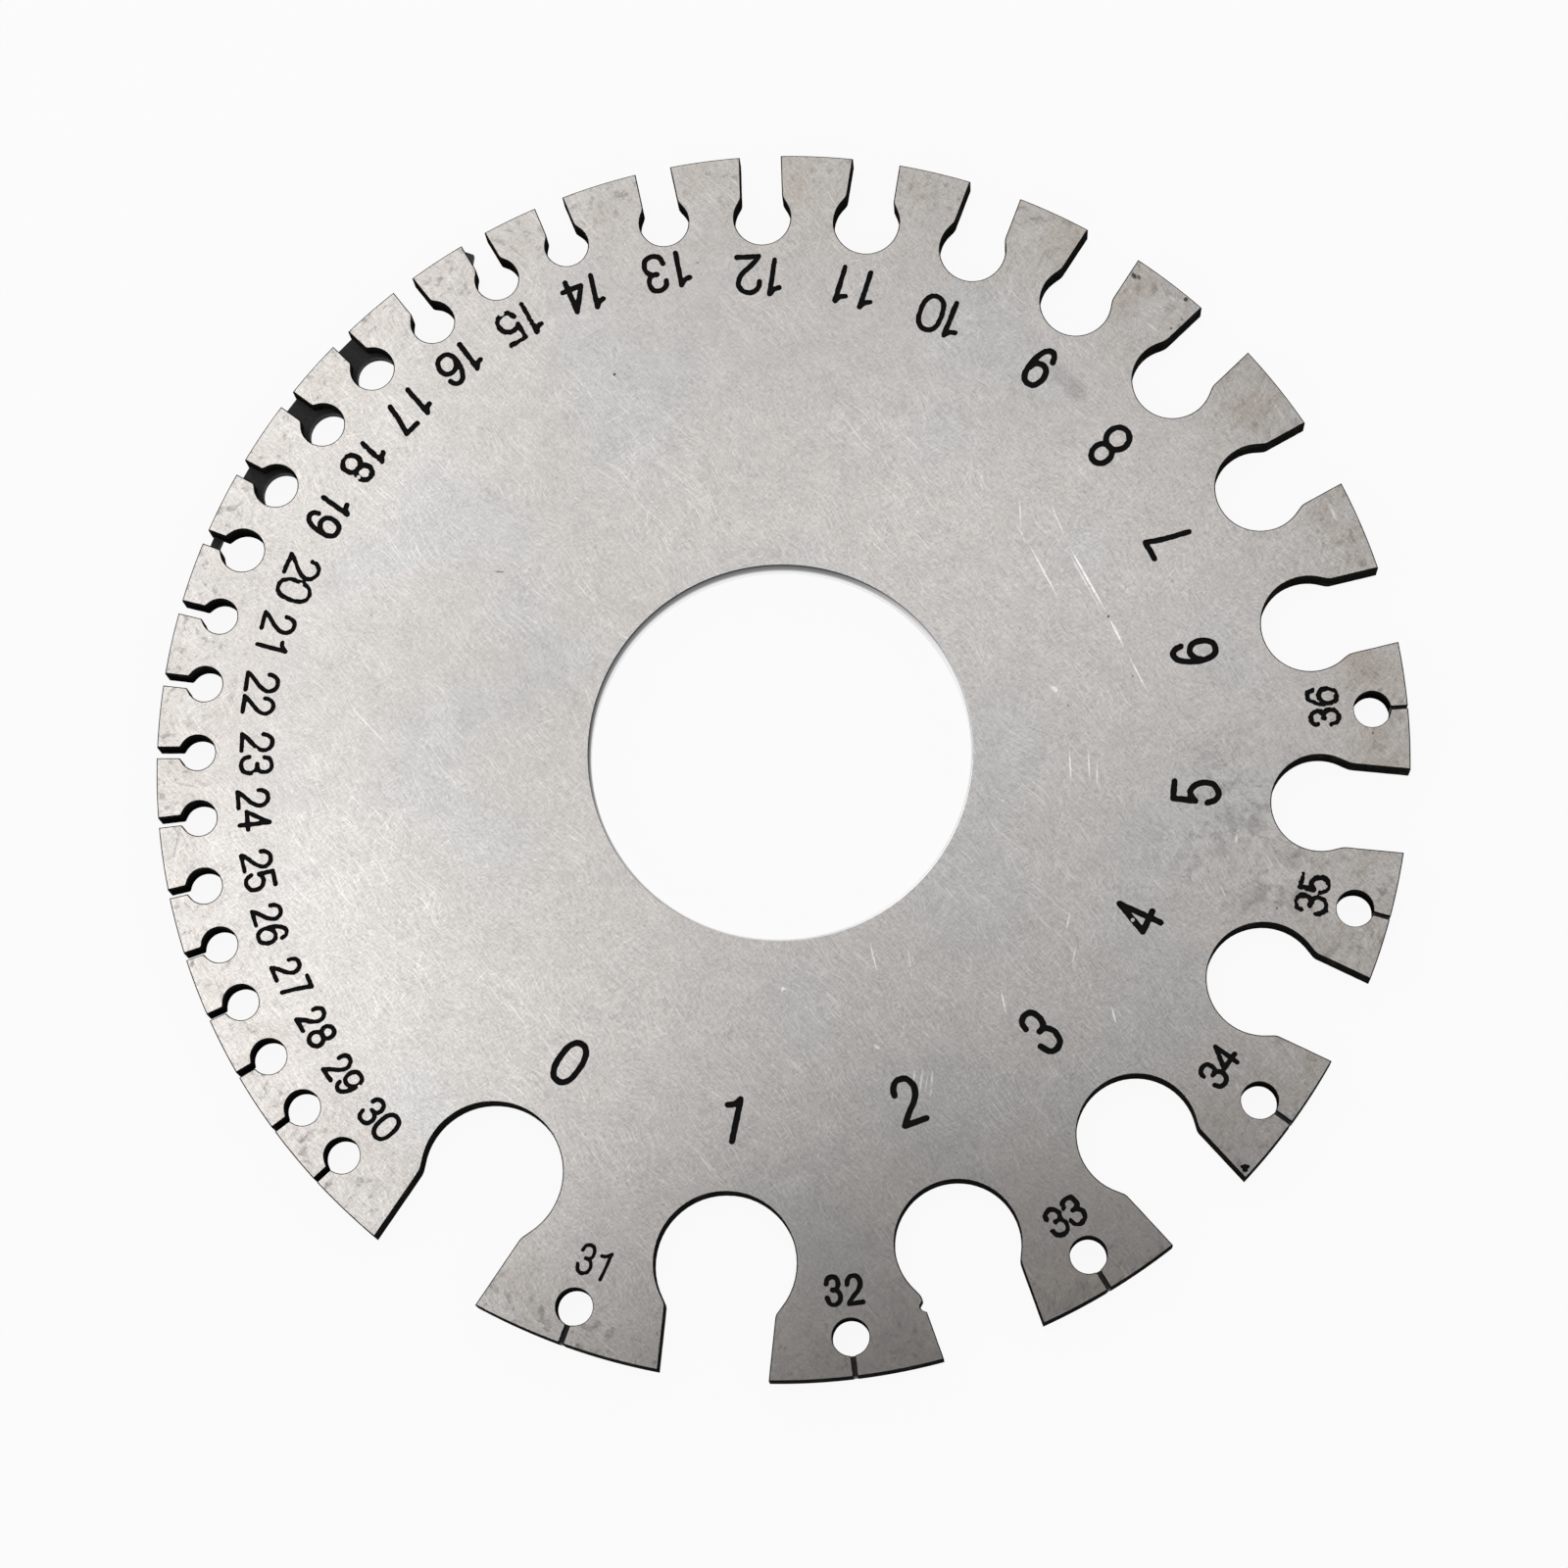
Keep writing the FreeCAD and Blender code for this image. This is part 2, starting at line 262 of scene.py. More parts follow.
class GaugeColours(bpy.types.PropertyGroup):
    """Colours of the plate's finishes, of the shade painted on its walls and in its slots, and of the floor.
    """

    steel: a_colour("Steel", "Ground steel of the faces", 0.614, 0.588, 0.566)
    cool_steel: a_colour("Cool steel", "Bluish patches in the ground steel", 0.575, 0.58, 0.58)
    bore: a_colour("Bore steel", "Turned wall of the centre hole", 0.9, 0.9, 0.9)
    # Painted shadow along the upper edge of the centre hole's wall.
    dull_bore: a_colour("Dull bore", "Upper edge of the centre hole's wall", 0.16, 0.16, 0.165)
    # Painted shade: the colour of the dark sheets that stand for the shade in the narrow slots and by slot
    # 15.
    dirt: a_colour("Dirt", "Dirt packed in the narrow slots", 0.06, 0.062, 0.06)
    # Lighter patches in the painted shade of the walls.
    worn_wall: a_colour("Wall shade patches", "Where the black of the walls is thin", 0.1, 0.092, 0.085)
    tarnish: a_colour("Tarnish", "Warm tarnish near the teeth", 0.56, 0.5, 0.44)
    # Painted shade: the near black of the notch and rim walls stands for the shade on them.
    cut_wall: a_colour("Shaded walls", "Blackened walls of the notches and rim", 0.012, 0.0115, 0.011)
    number_fill: a_colour("Number fill", "Black that fills the stamped numbers", 0.01, 0.01, 0.01)
    floor: a_colour("Floor", "Pale floor under the plate", 0.8, 0.8, 0.8)


# ---- finishes

# Scratches on the face: both ends in mm, width in mm and how bright it is.
SCRATCHES = (
    (17.76, 17.14, 18.91, 14.18, 0.085, 0.5), (18.91, 14.18, 21.64, 9.0, 0.119, 1.0),
    (18.75, 14.0, 21.4, 8.95, 0.068, 0.6), (21.64, 9.0, 22.72, 6.8, 0.119, 0.9),
    (22.72, 6.8, 24.35, 3.48, 0.085, 0.7), (15.82, 17.29, 15.93, 15.0, 0.085, 0.5),
    (15.8, 15.14, 16.25, 13.9, 0.085, 0.5), (16.25, 14.33, 18.55, 9.89, 0.085, 0.8),
    (9.38, -20.95, 9.12, -22.87, 0.102, 0.7), (10.01, -20.95, 9.82, -23.19, 0.102, 0.7),
    (9.75, -21.1, 9.45, -22.9, 0.068, 0.5), (8.87, -21.07, 8.74, -22.03, 0.085, 0.6),
    (14.41, -15.82, 14.79, -17.62, 0.085, 0.9), (21.58, -16.99, 21.88, -18.28, 0.102, 0.9),
    (-5.13, -26.61, -4.29, -27.76, 0.085, 0.5), (5.82, -12.36, 6.52, -15.28, 0.068, 0.7),
    (8.37, -12.69, 8.69, -15.61, 0.068, 0.5), (18.99, 0.34, 19.1, -2.3, 0.085, 0.8),
    (20.21, 0.2, 20.32, -2.17, 0.085, 0.7), (20.85, -0.33, 20.76, -2.63, 0.068, 0.6),
    (18.96, -10.78, 18.7, -12.08, 0.085, 0.7), (19.33, -13.05, 19.06, -14.34, 0.085, 0.6),
    (-28.65, 3.38, -25.64, 0.17, 0.102, 0.35), (36.03, 17.21, 37.02, 14.85, 0.136, 0.5),
    (17.9, 4.25, 18.25, 3.95, 0.204, 0.9), (6.25, -19.55, 6.55, -19.8, 0.17, 0.7),
    (0.2, -15.7, 0.45, -16.1, 0.204, 0.9), (24.13, 29.46, 25.36, 28.43, 0.09, 0.45),
    (25.73, 31.3, 26.5, 30.54, 0.09, 0.4), (24.54, 30.42, 25.18, 29.86, 0.08, 0.3),
    (32.59, 23.86, 33.54, 22.29, 0.1, 0.5), (29.82, -5.72, 29.83, -6.35, 0.12, 0.7),
    (28.72, -9.0, 29.09, -9.98, 0.1, 0.6), (29.54, -21.95, 29.72, -22.58, 0.09, 0.5),
)

# Dark specks on the face: place and radius in mm, and how dark.
SPECKS = (
    (-11.24, 25.95, 0.13, 0.8), (21.64, 9.0, 0.1, 0.8), (23.64, 32.49, 0.16, 0.7),
    (27.03, 30.88, 0.15, 0.6), (26.02, 28.83, 0.12, 0.6), (18.95, 2.98, 0.1, 0.4), (23.21, 4.94, 0.08, 0.5),
    (-5.71, 33.75, 0.1, 0.5), (38.85, 1.02, 0.09, 0.6), (32.38, -10.62, 0.1, 0.5),
    (26.75, 29.44, 0.09, 0.5), (27.03, 30.84, 0.2, 0.8),
)

# Grey smudges and short dark dashes: ends and width in mm, and how dark.
DARK_MARKS = (
    (18.15, 26.3, 19.1, 24.9, 0.85, 0.12), (18.9, 25.3, 20.1, 24.1, 1.05, 0.17),
    (-19.24, 12.36, -18.25, 12.29, 0.09, 0.5), (23.45, 32.75, 23.75, 32.3, 0.22, 0.8),
    (23.8, 32.6, 24.0, 32.25, 0.16, 0.7), (27.2, 31.15, 27.6, 30.65, 0.14, 0.6),
    (28.44, -6.4, 29.39, -6.99, 0.75, 0.11), (29.92, -9.98, 31.56, -10.37, 0.85, 0.11),
    (30.24, -9.4, 30.87, -9.79, 0.22, 0.14), (32.38, -6.93, 33.83, -7.66, 0.9, 0.1),
)


def start_nodes(owner):
    """Empties a material's or world's node tree, and gives a function that adds nodes to it."""
    owner.use_nodes = True
    owner.node_tree.nodes.clear()
    return partial(make_node, owner.node_tree)


def new_material(name):
    """A material without nodes, and a function that adds nodes to it."""
    material = bpy.data.materials.new(name)
    return material, start_nodes(material)


def finish_surface(node, sockets):
    """Ends a material in one Principled shader."""
    node("ShaderNodeOutputMaterial", {}, {"Surface": node("ShaderNodeBsdfPrincipled", {}, sockets)})


def scaled(node, vector, factor):
    """Coordinates or a colour times a plain factor."""
    return node("ShaderNodeVectorMath", {"operation": "SCALE"}, {0: vector, "Scale": factor})


def stretched(node, place, *factors):
    """Coordinates times a factor each for x, y and z."""
    return node("ShaderNodeVectorMath", {"operation": "MULTIPLY"}, {0: place, 1: factors})


def in_mm(node):
    """The object's own coordinates in mm."""
    return scaled(node, node("ShaderNodeTexCoord", {}, {}, "Object"), 1 / MM)


def axes(node, place, letters):
    """The numbers of a vector that the letters name."""
    return [node("ShaderNodeSeparateXYZ", {}, {0: place}, letter) for letter in letters]


def away_from(node, place, x, y):
    """How far each place is from a spot on the upper face, in mm."""
    return node("ShaderNodeVectorMath", {"operation": "DISTANCE"}, {0: place, 1: (x, y, FACE_HEIGHT)}, 1)


def laid(node, place, degrees, length, width, offset=(0.0, 0.0, 0.0), depth=1.0):
    """Coordinates turned by an angle, with one unit a length along it, a width across it and a depth up."""
    return node("ShaderNodeMapping", {"vector_type": "TEXTURE"}, {
        "Vector": place, "Location": offset, "Rotation": (0.0, 0.0, math.radians(degrees)),
        "Scale": (length, width, depth)})


def noise(node, place, scale=1.0, detail=1.0, distortion=0.0, out=0):
    """Noise between 0 and 1, mostly near a half; output 1 is the same in colour."""
    return node("ShaderNodeTexNoise", {}, {
        "Vector": place, "Scale": scale, "Detail": detail, "Distortion": distortion}, out)


def tint(node, share, first, second):
    """The first colour where share is 0 and the second where it is 1."""
    return node("ShaderNodeMix", {"data_type": "RGBA"}, {0: share, 6: first, 7: second}, 2)


def line_mask(node, place, mark):
    """A straight mark on the upper face, thinning towards its ends: its ends, width and strength."""
    x0, y0, x1, y1, width, strength = mark
    turn = math.degrees(math.atan2(y1 - y0, x1 - x0))
    local = laid(node, place, turn, math.hypot(x1 - x0, y1 - y0) / 2 + width / 2, width,
                 ((x0 + x1) / 2, (y0 + y1) / 2, FACE_HEIGHT), 0.5)
    return node("ShaderNodeVectorMath", {"operation": "LENGTH"}, {0: local}, 1).rise(1.0, 0.3, strength)


def strongest(masks):
    """The strongest of several marks at each place, joined one by one to keep the shader's stack short."""
    total = 0.0
    for mask in masks:
        total = mask.at_least(total)
    return total


# Bright hairlines in the steel: direction, length, width, how much of the noise they leave out, strength.
HAIRLINES = (
    (-48, 4.5, 0.075, 0.64, 0.24), (-62, 2.4, 0.07, 0.65, 0.21), (40, 2.0, 0.07, 0.66, 0.18),
    (75, 2.6, 0.07, 0.66, 0.18),
)


def ground_steel(colours):
    """Ground sheet steel: short crossing strokes, mottle, warm tarnish on the teeth, scratches and specks."""
    material, node = new_material("ground_steel")
    place = in_mm(node)
    x, y = axes(node, place, "XY")
    radius = (x * x + y * y).root()

    # The grain wanders in direction, so its coordinates are pushed about by slow noise.
    drift = scaled(node, noise(node, place, scale=0.22, out=1), 2.2)
    bent = node("ShaderNodeVectorMath", {"operation": "ADD"}, {0: place, 1: drift})
    strokes = noise(node, laid(node, bent, -50, 0.5, 0.105), detail=1.5, distortion=0.9)
    crossing = noise(node, laid(node, bent, 38, 0.36, 0.1, (7.0, 3.0, 0.0)))
    crumbs = noise(node, place, scale=7.0)
    grain = (strokes - 0.5) * 0.56 + (crossing - 0.5) * 0.36 + (crumbs - 0.5) * 0.32
    mottle = (noise(node, place, scale=0.55, detail=3.0) - 0.5) * 0.2

    def hairline(degrees, length, width, gate, strength):
        line = noise(node, laid(node, bent, degrees, length, width, (degrees, 2.0, 0.0)))
        return line.rise(gate, gate + 0.05) * strength

    drifts = noise(node, place, scale=0.16).rise(0.38, 0.6)
    hairs = strongest(hairline(*line) for line in HAIRLINES) * drifts
    # Painted shade of small dents: scattered spots darkened in the colour only, with the face itself left
    # flat.
    dent_shade = noise(node, laid(node, place, 15, 0.22, 0.16, (3.0, 9.0, 0.0))).rise(0.72, 0.8) * 0.3

    # Scratches, broken here and there, and dark marks.
    broken = noise(node, place, scale=2.4).rise(0.24, 0.42)
    scratches = strongest(line_mask(node, place, mark) for mark in SCRATCHES) * broken
    specks = strongest(away_from(node, place, *spot).rise(size, size / 2, darkness)
                       for *spot, size, darkness in SPECKS)
    dark = strongest(line_mask(node, place, mark) for mark in DARK_MARKS).at_least(specks)

    # Tarnish on the teeth, streaked and heavier to the right, and cool patches on the middle.
    on_teeth = radius.rise(32.5, 39.5)
    cloud = noise(node, place, scale=0.3, detail=4.0)
    streaks = noise(node, laid(node, bent, 60, 1.3, 0.35, (1.0, 5.0, 0.0)), detail=3.0)
    tarnished = on_teeth * (cloud * 0.55 + streaks * 0.45).rise(0.4, 0.64) * mix(x.rise(-25, 20), 0.45, 1.0)
    brown = 1 - away_from(node, place, 38.3, 6.2).rise(0.8, 3.2)
    tarnished = tarnished.at_least(brown * cloud.rise(0.3, 0.6) * 1.1).at_most(1.0)
    cool = noise(node, place, scale=0.11).rise(0.52, 0.66) * (1 - on_teeth) * 0.45
    colour = tint(node, cool, (*colours.steel, 1), (*colours.cool_steel, 1))
    colour = tint(node, tarnished * 0.75, colour, (*colours.tarnish, 1))

    # Smut on the teeth, a worn rim, and scuffs by numbers 4, 5 and 35.
    fleck = noise(node, bent, scale=1.6, detail=3.0)
    smut = (streaks * 0.5 + fleck * 0.5).rise(0.54, 0.66) * on_teeth * 0.14
    worn_rim = fleck.rise(0.56, 0.66) * radius.rise(37.0, 40.8) * (1 - x.rise(-20, 10) * 0.5) * 0.24
    by_number_5 = 1 - away_from(node, place, 31.0, -5.5).rise(3, 9)
    scuffs = (cloud * 0.5 + fleck * 0.5).rise(0.5, 0.62) * by_number_5 * 0.24

    light = 0.93 + grain + mottle + hairs + scratches * 0.75 - smut - worn_rim - scuffs
    colour = scaled(node, colour, (light - dent_shade) * (1 - dark))
    rough = (0.2 - grain * 0.08 + tarnished * 0.05 + dark * 0.3).at_least(0.13)
    finish_surface(node, {"Base Color": colour, "Metallic": 1.0, "Roughness": rough})
    return material


def bore_steel(colours):
    """The turned wall of the centre hole: bright steel with fine rings, and a painted shadow along its upper
    edge towards the upper left.
    """
    material, node = new_material("bore_steel")
    place = in_mm(node)
    x, y, z = axes(node, place, "XYZ")
    rings = noise(node, stretched(node, place, 0.25, 0.25, 14.0), detail=2.0)
    # Painted shadow: darker and rougher near the top of the wall, towards the upper left.
    edge_shadow = z.rise(0.5, 1.5) * (y * 0.8 - x * 0.6).rise(-4, 9)
    colour = tint(node, edge_shadow, (*colours.bore, 1), (*colours.dull_bore, 1))
    colour = scaled(node, colour, 1 + (rings - 0.5) * 0.3)
    finish_surface(node, {"Base Color": colour, "Metallic": 1.0, "Roughness": 0.2 + edge_shadow * 0.2})
    return material


def bumpy_black(node, colour, height, strength, shine, rough):
    """Ends a material in a matt surface with a fine bump."""
    bump = node("ShaderNodeBump", {}, {"Strength": strength, "Distance": 0.05 * MM, "Height": height})
    finish_surface(node, {"Base Color": colour, "Metallic": 0.0, "Specular IOR Level": shine,
                          "Roughness": rough, "Normal": bump})


def cut_wall(colours):
    """Painted shade on the walls and edge breaks of the notches and rim: near black, streaked from face to
    face.
    """
    material, node = new_material("cut_wall")
    place = in_mm(node)
    streaks = noise(node, stretched(node, place, 5.0, 5.0, 0.35), detail=3.0)
    # Patches where the painted shade is lighter.
    lighter_patches = noise(node, place, scale=0.8, detail=3.0).rise(0.52, 0.7)
    colour = tint(node, lighter_patches * 0.15, (*colours.cut_wall, 1), (*colours.worn_wall, 1))
    bumpy_black(node, scaled(node, colour, 0.5 + streaks), streaks, 0.3, 0.0, 0.55 - (streaks - 0.5) * 0.4)
    return material


def dull_black(name, colour):
    """Dull uneven black, for the filler in the numbers and the painted shade in the slots."""
    material, node = new_material(name)
    uneven = noise(node, in_mm(node), scale=3.5, detail=3.0)
    colour = scaled(node, tuple(colour), 0.5 + uneven)
    bumpy_black(node, colour, uneven, 0.2, 0.05, 0.55 + (uneven - 0.5) * 0.3)
    return material


# ---- notch walls

ARC_STEPS, SIDE_STEPS, RIM_STEPS = 20, 22, 9      # along one half of a notch
EDGE_LEVELS = 6                                   # top edge, wall and bottom edge of a notch wall
NICK_SLOT, NICK_FROM_RIM, NICK_RADIUS = 2, 3.75 * MM, 0.31 * MM
NECK_BLEND = 0.22 * MM                            # how far the side and relief hole round into each other


def notch_points():
    """One point for each notch, which carries the notch's own sizes."""
    slots = sorted(range(len(SHEET_OUNCES)), key=slot_bearing)
    bearings = [slot_bearing(slot) for slot in slots]
    after = [(bearings[(i + 1) % len(slots)] - bearing) % 360 for i, bearing in enumerate(bearings)]
    columns = {
        "bearing": [math.radians(bearing) for bearing in bearings],
        "to_next": [math.radians(step) / 2 for step in after],
        "to_last": [math.radians(after[i - 1]) / 2 for i in range(len(slots))],
        "half_width": [SHEET_OUNCES[slot] * SLOT_FOR_AN_OUNCE / 2 for slot in slots],
        "drill_radius": [RELIEF[slot][0] for slot in slots],
        "drill_inset": [RELIEF[slot][1] for slot in slots],
        "nick": [float(slot == NICK_SLOT) for slot in slots],
    }
    mesh = bpy.data.meshes.new("notch_points")
    mesh.from_pydata([(MM * i, 0.0, 0.0) for i in range(len(slots))], [], [])
    for name, values in columns.items():
        mesh.attributes.new(name, "FLOAT", "POINT").data.foreach_set("value", values)
    return mesh


def notch_tree(material):
    """The Geometry Nodes tree that makes the walls of all the notches, joined along the rim."""
    tree = bpy.data.node_groups.new("notch_walls", "GeometryNodeTree")
    node = partial(make_node, tree)
    numbers = ("Rim Radius", "Thickness", "Edge", "Wave")
    tree.interface.new_socket("Geometry", in_out="OUTPUT", socket_type="NodeSocketGeometry")
    tree.interface.new_socket("Geometry", in_out="INPUT", socket_type="NodeSocketGeometry")
    for name in numbers:
        tree.interface.new_socket(name, in_out="INPUT", socket_type="NodeSocketFloat")
    points, rim_radius, thickness, rim_edge, wave_size = (
        node("NodeGroupInput", {}, {}, name) for name in ("Geometry", *numbers))

    def carried(name):
        return node("GeometryNodeInputNamedAttribute", {"data_type": "FLOAT"}, {"Name": name})

    # A flat grid whose columns are steps round the notch and whose rows are levels down the wall.
    middle = ARC_STEPS + SIDE_STEPS + RIM_STEPS
    strip = node("GeometryNodeMeshGrid", {}, {"Vertices X": 2 * middle + 1, "Vertices Y": EDGE_LEVELS})
    index = node("GeometryNodeInputIndex")
    step = (index / EDGE_LEVELS + 0.5 / EDGE_LEVELS).floor()
    for name, value in (("step", step), ("level", index - step * EDGE_LEVELS)):
        strip = node("GeometryNodeStoreNamedAttribute", {"data_type": "FLOAT", "domain": "POINT"},
                     {"Geometry": strip, "Name": name, "Value": value})
    notches = node("GeometryNodeInstanceOnPoints", {}, {"Points": points, "Instance": strip})
    walls = node("GeometryNodeRealizeInstances", {}, {"Geometry": notches})

    # Rounded edges: the outline steps back and the surface goes down, the same way at top and bottom.
    level, step, half, bearing = (carried(name) for name in ("level", "step", "half_width", "bearing"))
    turn = level.at_most(EDGE_LEVELS - 1 - level) * (math.pi / 2 / (EDGE_LEVELS / 2 - 1))
    along = (step - middle).size()
    notch_edge = (half * 0.15 + 0.035 * MM).at_most(rim_edge)
    wander = node("ShaderNodeTexNoise", {"noise_dimensions": "2D"}, {
        "Vector": node("ShaderNodeCombineXYZ", {}, {"X": bearing * 40.0, "Y": step * 0.23}),
        "Scale": 1.0, "Detail": 2.0})
    fade = (ARC_STEPS + SIDE_STEPS - along).rise(0.0, 3.0)
    back = notch_edge * (1 - turn.sine()) + (wander - 0.5) * wave_size * 2.0 * fade

    # The outline of one half notch: round the relief hole, out along the side, then along the rim.
    drill, rim = carried("drill_radius") + back, rim_radius - rim_edge * (1 - turn.sine())
    centre = rim_radius - carried("drill_inset")
    h = half + back
    swing = math.pi - (math.pi - (h / drill).arcsine()) * (along / ARC_STEPS).at_most(1.0)
    share = ((along - ARC_STEPS) / SIDE_STEPS).at_least(0.0).at_most(1.0)
    start = centre + (drill * drill - h * h).root()
    side_u = mix(share, start, (rim * rim - h * h).root())
    after = (step - middle).over(0.0)
    reach = side_u - (rim_radius - NICK_FROM_RIM)
    bite = (NICK_RADIUS ** 2 - reach * reach).at_least(0.0).root() * (carried("nick") * (1 - after))

    # The side and the relief hole meet in a worn, rounded corner.
    u_before_rim = mix(along.over(ARC_STEPS + 0.5), centre + drill * swing.cosine(), side_u)
    out_from_centre = u_before_rim - centre
    arc_v = (drill * drill - out_from_centre * out_from_centre).at_least(0.0).root()
    blend = ((drill - h) * 0.9).at_most(NECK_BLEND)
    near = (blend - (arc_v - h).size()).at_least(0.0)
    rounding = near * near / blend / 4.0 * out_from_centre.rise(0.0, 0.15 * MM)
    open_v = mix(out_from_centre.over(0.0), arc_v, arc_v.at_least(h)) + rounding + bite
    pitch = mix(after, carried("to_last"), carried("to_next"))
    rim_turn = mix(((along - ARC_STEPS - SIDE_STEPS) / RIM_STEPS).at_least(0.0), (h / rim).arcsine(), pitch)
    on_rim = along.over(ARC_STEPS + SIDE_STEPS + 0.5)
    u = mix(on_rim, u_before_rim, rim * rim_turn.cosine())
    v = mix(on_rim, open_v, rim * rim_turn.sine()) * (after * 2.0 - 1.0)
    down = mix(share, notch_edge, rim_edge) * (1 - turn.cosine())
    place = node("ShaderNodeCombineXYZ", {}, {
        "X": u * bearing.cosine() - v * bearing.sine(),
        "Y": u * bearing.sine() + v * bearing.cosine(),
        "Z": mix(level.over(EDGE_LEVELS / 2 - 0.5), thickness - down, down)})
    walls = node("GeometryNodeSetPosition", {}, {"Geometry": walls, "Position": place})
    walls = node("GeometryNodeMergeByDistance", {}, {"Geometry": walls, "Distance": 0.002 * MM})
    walls = node("GeometryNodeSetMaterial", {}, {"Geometry": walls, "Material": material})
    node("NodeGroupOutput", {}, {"Geometry": walls})
    return tree


def put(name, data):
    """A new object in the scene."""
    thing = bpy.data.objects.new(name, data)
    bpy.context.scene.collection.objects.link(thing)
    return thing


def notch_walls(sizes, material):
    """The walls of the notches and rim as a plain mesh."""
    carrier = put("notch_walls", notch_points())
    modifier = carrier.modifiers.new("notches", "NODES")
    modifier.node_group = notch_tree(material)
    given = {"Rim Radius": sizes.plate_diameter / 2, "Thickness": sizes.thickness,
             "Edge": sizes.cut_edge, "Wave": sizes.wall_wave}
    for item in modifier.node_group.interface.items_tree:
        if item.name in given:
            modifier[item.identifier] = given[item.name]
    held = carrier.evaluated_get(bpy.context.evaluated_depsgraph_get())
    mesh = bpy.data.meshes.new_from_object(held)
    carrier.modifiers.clear()
    bpy.data.objects.remove(carrier)
    return mesh


def boundary_loops(mesh):
    """The open edges of a mesh as lists of vertex numbers, one for each closed loop."""
    edge_of_corner = np.zeros(len(mesh.loops), dtype=np.int32)
    mesh.loops.foreach_get("edge_index", edge_of_corner)
    follow = {}
    for edge, users in zip(mesh.edges, np.bincount(edge_of_corner, minlength=len(mesh.edges))):
        if users == 1:
            a, b = edge.vertices
            follow.setdefault(a, []).append(b)
            follow.setdefault(b, []).append(a)
    loops = []
    while follow:
        loop, here = [], next(iter(follow))
        while here is not None:
            loop.append(here)
            here = next((other for other in follow.pop(here) if other in follow), None)
        loops.append(loop)
    return loops


# ---- numbers

SMOOTH_PIECES, OVAL_STEPS = 6, 40       # between two points of a curved run, and round an oval


def smooth_run(points):
    """A run of points made smooth, with every point still on it."""
    padded = [2 * points[0] - points[1], *points, 2 * points[-1] - points[-2]]
    out = []
    for p0, p1, p2, p3 in zip(padded, padded[1:], padded[2:], padded[3:]):
        for k in range(SMOOTH_PIECES):
            t = k / SMOOTH_PIECES
            out.append(0.5 * (2 * p1 + (p2 - p0) * t + (2 * p0 - 5 * p1 + 4 * p2 - p3) * t * t
                              + (3 * p1 - p0 - 3 * p2 + p3) * t ** 3))
    return np.array([*out, points[-1]])


def oval(centre, radii, power=2.0):
    """A closed oval, squarer as power goes up."""
    turn = np.linspace(0, 2 * math.pi, OVAL_STEPS + 1)
    spots = np.stack([np.cos(turn), np.sin(turn)], -1)
    return np.array(centre) + np.array(radii) * np.sign(spots) * np.abs(spots) ** (2 / power)


def digit_lines(digit, box, stroke):
    """A digit's middle lines in mm."""
    left, right, top, bottom = np.array(box) / 100
    if digit == "1":
        # A straight stem and a flag, which is longer on a taller 1.
        head, foot = np.array([left, top - stroke / 2]), np.array([right, bottom + stroke / 2])
        height = head[1] - foot[1]
        reach = 0.55 if height < 2.3 else 0.65 if height < 2.7 else 0.8
        flag = smooth_run([head + (-reach, -0.17 * height), head + (-0.45 * reach, -0.13 * height), head])
        return [np.array([head, foot]), flag]
    low, span = np.array([left, bottom]) + stroke / 2, np.array([right - left, top - bottom]) - stroke
    if digit == "0":
        unit = [oval((0.5, 0.5), (0.5, 0.5), 2.4)]
    elif digit == "8":
        unit = [oval((0.5, 0.76), (0.43, 0.24)), oval((0.5, 0.27), (0.5, 0.27))]
    elif digit == "9":
        unit = [1 - line for line in unit_lines("6")]
    else:
        unit = unit_lines(digit)
    return [low + line * span for line in unit]


def unit_lines(digit):
    """A digit's runs in a one by one box, smoothed where they are curved."""
    return [smooth_run(np.array(points) / 100) if kind == CURVED else np.array(points) / 100
            for kind, points in DIGIT_LINES[digit]]


def line_distance(places, line):
    """The distance from each place to a run of points."""
    best = np.full(len(places), np.inf)
    for a, b in zip(line[:-1], line[1:]):
        along = b - a
        length = max(float(along @ along), 1e-12)
        share = np.clip((places - a) @ along / length, 0, 1)
        best = np.minimum(best, np.linalg.norm(places - a - share[:, None] * along, axis=1))
    return best


LATTICE = 64      # random values each way before soft_noise repeats


def soft_noise(places, cell, seed):
    """Smooth noise from -1 to 1 with features about one cell across."""
    lattice = np.random.default_rng(seed).uniform(-1, 1, (LATTICE, LATTICE))
    spots = places / cell
    base = np.floor(spots).astype(int)
    part = spots - base
    part = part * part * (3 - 2 * part)
    value = 0
    for dx in (0, 1):
        for dy in (0, 1):
            weight = (part[:, 0] if dx else 1 - part[:, 0]) * (part[:, 1] if dy else 1 - part[:, 1])
            value = value + weight * lattice[(base[:, 0] + dx) % LATTICE, (base[:, 1] + dy) % LATTICE]
    return value


# The sides of a grid cell that outlines run from and to, by which of its corners are inside.
CELL_RUNS = {
    1: [(0, 3)], 2: [(1, 0)], 3: [(1, 3)], 4: [(2, 1)], 5: [(0, 3), (2, 1)], 6: [(2, 0)], 7: [(2, 3)],
    8: [(3, 2)], 9: [(0, 2)], 10: [(1, 0), (3, 2)], 11: [(1, 2)], 12: [(3, 1)], 13: [(0, 1)], 14: [(3, 0)],
}


